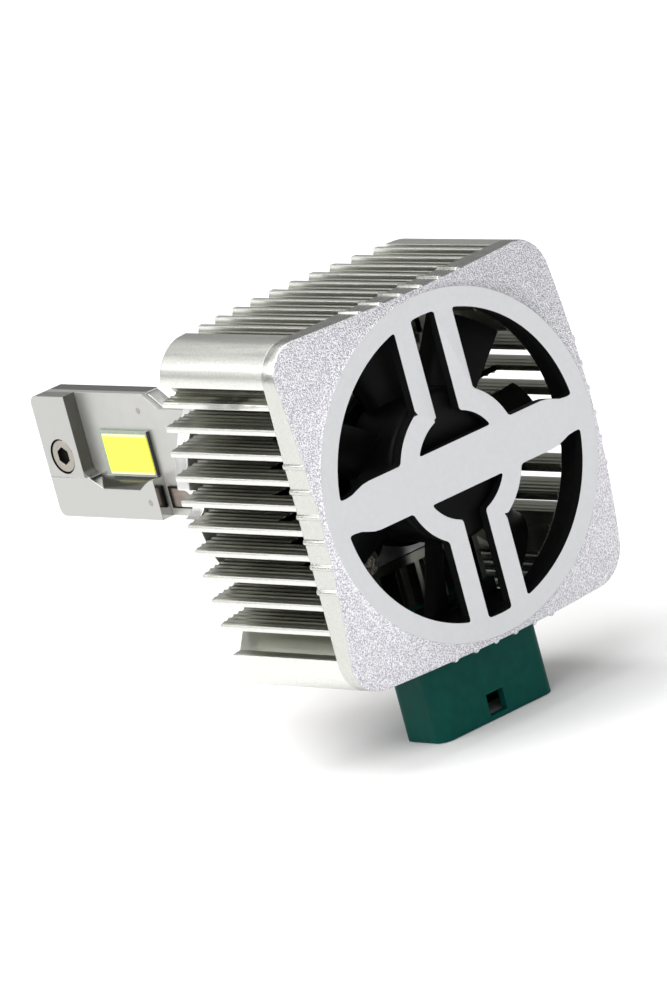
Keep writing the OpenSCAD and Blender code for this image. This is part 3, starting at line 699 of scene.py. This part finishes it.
def round_the_screw(face):
    """True for the wall of the hole that the tip screw's head sits in."""
    middle = face.calc_center_median()
    return math.hypot(middle.y - SCREW_AT * MM, middle.z) < 2.1 * MM and abs(face.normal.x) < 0.5


def in_the_socket(face):
    """True for the walls and the floor of the tip screw's socket."""
    middle = face.calc_center_median()
    near = math.hypot(middle.y - SCREW_AT * MM, middle.z) < 1.1 * MM
    return near and -1.88 * MM < middle.x < -1.2 * MM


# Painted shade: these faces lie in a recess or inside the grille, and are painted black
BLACKENED = {"connector_housing": within_the_cover, "left_tip_block": round_the_screw,
             "tip_screw": in_the_socket}
for eased_node, eased_radius in EASED.items():
    eased_piece(eased_node, whole_faces(eased_node), eased_radius * MM, BLACKENED.get(eased_node))
print(len(EASED), "more eased pieces")

# %% [markdown]
# ## Ribbed fins
#
# Each fin is an extruded plate whose faces carry fine ribs along the bulb's axis. They give the air
# more metal to touch, and they make the dark lines between the fins' bright edges. A fin is a closed
# outline carried along the axis: the outline goes out along one face, round the tip and back along
# the other. Its front end is cut to the same cone as the heat sink, point by point.

# %% Fin sizes
body_low, body_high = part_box("heat_sink")
FIN_REACH = body_high.x / MM + 0.03
FIN_HALF = 0.33
CORE, CONNECTOR_GAP = 12, 9.6
CONE_START, SINK_SLOPE, COLLAR_BACK = -5.1, 0.36, -2.15
TIP_ROUND = 0.1
RIB_PITCH, RIB_HEIGHT = 1.0, 0.16
BORE_RADIUS, BORE_END = 17.2, -17.6
COVER_END = body_low.y / MM
print("fins reach", round(FIN_REACH, 2), "mm, from", round(COVER_END, 2), "mm")


# %% Fins
def fin_outline(inner, outer, steps=110):
    """Distance out s and height h of a fin's outline, as two arrays. s goes from inner to outer and back.
    h is half the thickness plus a rib, which is a raised cosine cubed, and its corner at the tip is a
    quarter circle. The second half mirrors the first."""
    s = inner + (outer - inner) * np.linspace(0, 1, steps) ** 0.9
    near_tip = np.clip((outer - 0.5 - s) / 0.4, 0, 1)
    rib = RIB_HEIGHT * near_tip * (0.5 + 0.5 * np.cos(2 * np.pi * s / RIB_PITCH)) ** 3
    into_tip = np.clip((s - outer + TIP_ROUND) / TIP_ROUND, 0, 1)
    h = FIN_HALF + rib - TIP_ROUND * (1 - np.sqrt(1 - into_tip ** 2))
    return np.concatenate([s, s[::-1]]), np.concatenate([h, -h[::-1]])


def fin_front(x, z):
    """Where the front cone cuts the fins, from the distance to the bulb's axis."""
    return np.minimum(CONE_START - SINK_SLOPE * (np.hypot(x, z) - HALF), COLLAR_BACK)


def plate(side, centre, inner, back, front):
    """Points and faces of one fin on that side: its outline at the back and again at the front, with each
    end closed by strips from one face of the fin to the other. front is None where the cone cuts it."""
    s, h = fin_outline(inner, FIN_REACH)
    across = centre + h
    x, z = {"top": (across, s), "bottom": (across, -s), "left": (-s, across), "right": (s, across)}[side]
    front_y = fin_front(x, z) if front is None else np.full_like(x, front)
    points = np.stack([np.concatenate([x, x]), np.concatenate([np.full_like(x, back), front_y]),
                       np.concatenate([z, z])], -1)
    count = len(s)
    near, far = np.arange(count // 2 - 1), np.arange(count - 1, count // 2, -1)
    end = np.stack([near, near + 1, far - 1, far], -1)
    return points, np.concatenate([grid_faces(2, count, close_columns=True), end, end + count])


def all_fins():
    """Every plate, in two lengths: a short outer one beside the fan's bore, and the rest in front of it."""
    points, faces, start = [], [], 0
    for side in ("top", "bottom", "left", "right"):
        for centre in FIN_CENTRES:
            if side == "bottom" and abs(centre) < CONNECTOR_GAP:
                continue
            root = max(CORE, abs(centre))
            in_bore = math.sqrt(BORE_RADIUS ** 2 - centre ** 2) + 0.02
            for inner, back, front in ((max(root, in_bore), COVER_END, BORE_END), (root, BORE_END, None)):
                more_points, more_faces = plate(side, centre, inner, back, front)
                points.append(more_points)
                faces.append(more_faces + start)
                start += len(more_points)
    return np.concatenate(points), np.concatenate(faces)


fins = add_piece(mesh_of("ribbed_fins", *all_fins(), sharp=50), "bulb", "sink_silver")
print(fins.name, len(fins.data.polygons), "faces")

# %% [markdown]
# ## The fan's impeller
#
# A moulded impeller has a cup for a hub and thin blades that curve as they lean. The cup is a profile
# turned about the axis. Each blade is a lens-shaped outline that is carried outwards, and its
# middle line is bent, so that it meets the air gently and leaves it steeply.

# %% Impeller
hub_low, hub_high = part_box("impeller")
HUB_BACK, HUB_FRONT = hub_low.y / MM, hub_high.y / MM
HUB_RADIUS, BLADE_TIP, BLADES, LEAN = 8.4, 16.4, 7, math.radians(52)
BLADE_BACK, BLADE_FRONT = HUB_BACK + 2.65, HUB_FRONT - 0.2


def turned_points(profile, steps=96):
    """A profile of radius and place along the axis, turned right round the axis in equal steps."""
    radius, along = np.asarray(profile, float).T
    angle = np.linspace(0, 2 * np.pi, steps, endpoint=False)[:, None]
    return np.stack([radius * np.cos(angle), along + 0 * angle, radius * np.sin(angle)], -1).reshape(-1, 3)


def impeller_shape(chord_steps=20, span_steps=14):
    """The cup, then the blades. Round a blade's outline t goes once round a circle: the place along the
    chord is half of one minus cos t, and the thickness is sin t. The middle line leans by about 52
    degrees, less at the hub and more at the tip, and bows by a sine of the chord. Both are wrapped
    round the axis by dividing by the radius."""
    corner = np.linspace(0, np.pi / 2, 7)
    profile = [(0, HUB_BACK + 0.12), (4.6, HUB_BACK + 0.12), (5.0, HUB_BACK)]
    profile += list(zip(HUB_RADIUS - 0.8 + 0.8 * np.sin(corner), HUB_BACK + 0.8 - 0.8 * np.cos(corner)))
    profile += [(HUB_RADIUS, HUB_FRONT - 0.1), (8.3, HUB_FRONT), (7.8, HUB_FRONT), (7.8, HUB_BACK + 0.6),
                (0, HUB_BACK + 0.6)]
    points, faces = [turned_points(profile)], [grid_faces(96, len(profile), close_rows=True)]
    start = len(points[0])
    t = ((np.arange(2 * chord_steps) + 0.5) * np.pi / chord_steps)[None, :]
    radius = np.linspace(HUB_RADIUS - 0.3, BLADE_TIP, span_steps)[:, None]
    span = (radius - HUB_RADIUS) / (BLADE_TIP - HUB_RADIUS)
    chord = 0.5 - 0.5 * np.cos(t)
    depth = BLADE_FRONT - BLADE_BACK
    along = BLADE_BACK + depth * chord + 0 * radius
    lean = (chord - 0.5) * depth * math.tan(LEAN) * (0.85 + 0.35 * span)
    bow = 1.1 * np.sin(np.pi * chord)
    thick = (0.55 - 0.2 * span) * np.sin(t)
    turned = (lean + bow + thick) / radius
    for blade_number in range(BLADES):
        angle = turned + blade_number * 2 * np.pi / BLADES
        points.append(np.stack([radius * np.cos(angle), along, radius * np.sin(angle)], -1).reshape(-1, 3))
        faces.append(grid_faces(span_steps, 2 * chord_steps, close_columns=True) + start)
        step = np.arange(chord_steps - 1)
        end = np.stack([step, step + 1, 2 * chord_steps - 2 - step, 2 * chord_steps - 1 - step], -1)
        faces += [end + start, end + start + (span_steps - 1) * 2 * chord_steps]
        start += 2 * chord_steps * span_steps
    return np.concatenate(points), np.concatenate(faces)


impeller_mesh = mesh_of("curved_impeller", *impeller_shape(), sharp=40)
impeller = add_piece(impeller_mesh, "fan_rotor", "fan_black", "impeller")
print(impeller.name, len(impeller.data.polygons), "faces")

# %% [markdown]
# ## The measured pieces
#
# The pieces that weren't made anew are shown with their own meshes, so each of them gets the finish
# that goes with its material. The same is done for the hidden ones.

# %% Give every measured piece its finish
for node_name, node_object in nodes.items():
    finish = finishes[FINISH_OF[node_name]].material
    if not node_object.material_slots:
        node_object.data.materials.append(finish)
    for material_slot in node_object.material_slots:
        material_slot.material = finish
print("finished", len(nodes), "pieces")
